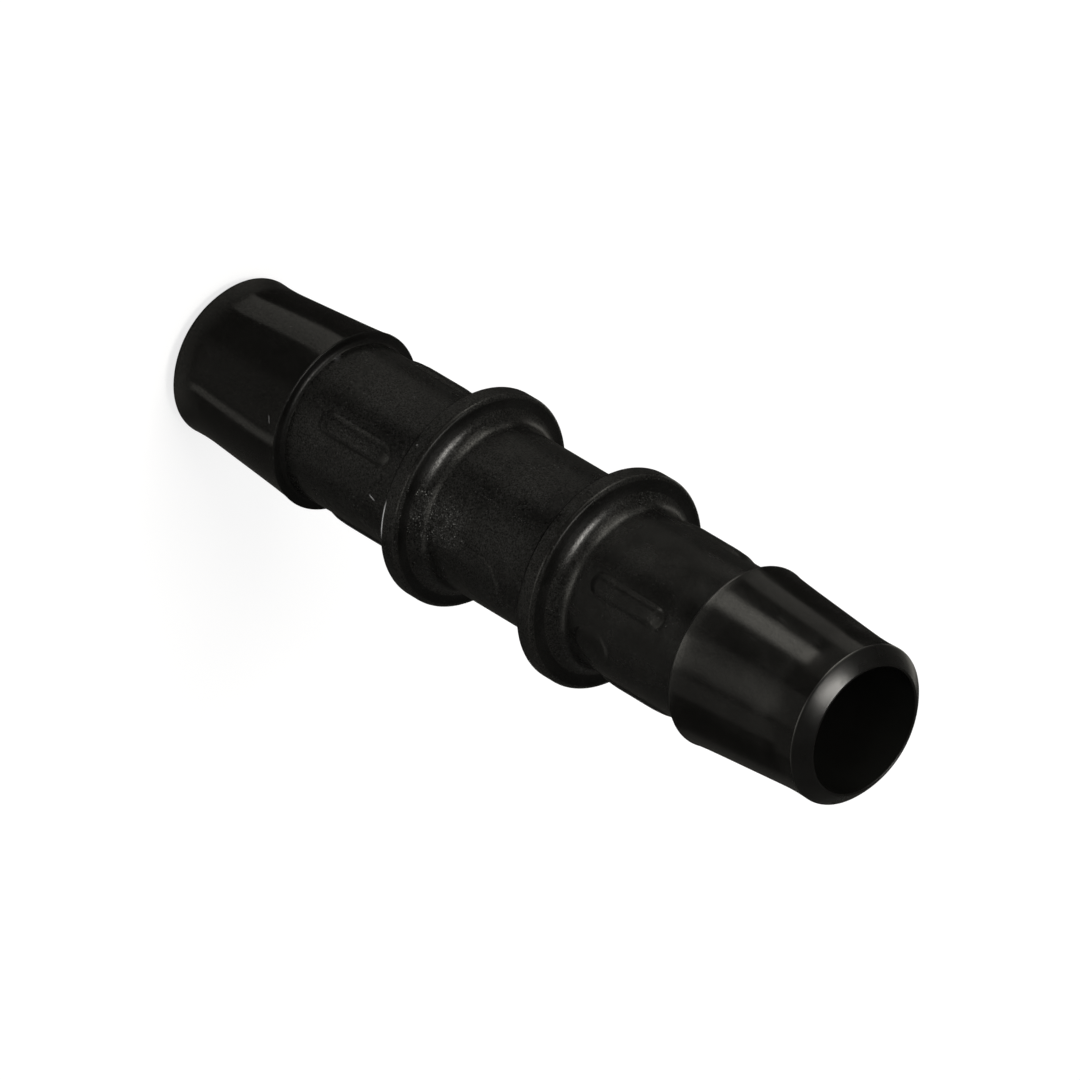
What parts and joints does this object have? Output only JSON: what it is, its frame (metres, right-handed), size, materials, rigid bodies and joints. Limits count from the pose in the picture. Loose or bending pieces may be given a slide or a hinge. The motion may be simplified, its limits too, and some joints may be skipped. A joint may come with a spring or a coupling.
{
  "type": "heater hose connector",
  "caption": "Straight moulded plastic connector that joins two heater hoses: a barb, a ribbed neck and a stop collar at each end of a straight through bore.",
  "frame": {"origin": "middle of the lower end, on the bore's axis, where the connector stands", "axes": "+Z along the bore towards the upper hose end, +X towards one grip rib of each neck"},
  "size_m": [0.0212, 0.0212, 0.0855],
  "materials": {
    "connector": "black moulded plastic: semi-gloss barbs, matt grained necks, collars and middle"
  },
  "bodies": {
    "root": {"connector": "connector"}
  },
  "joints": []
}
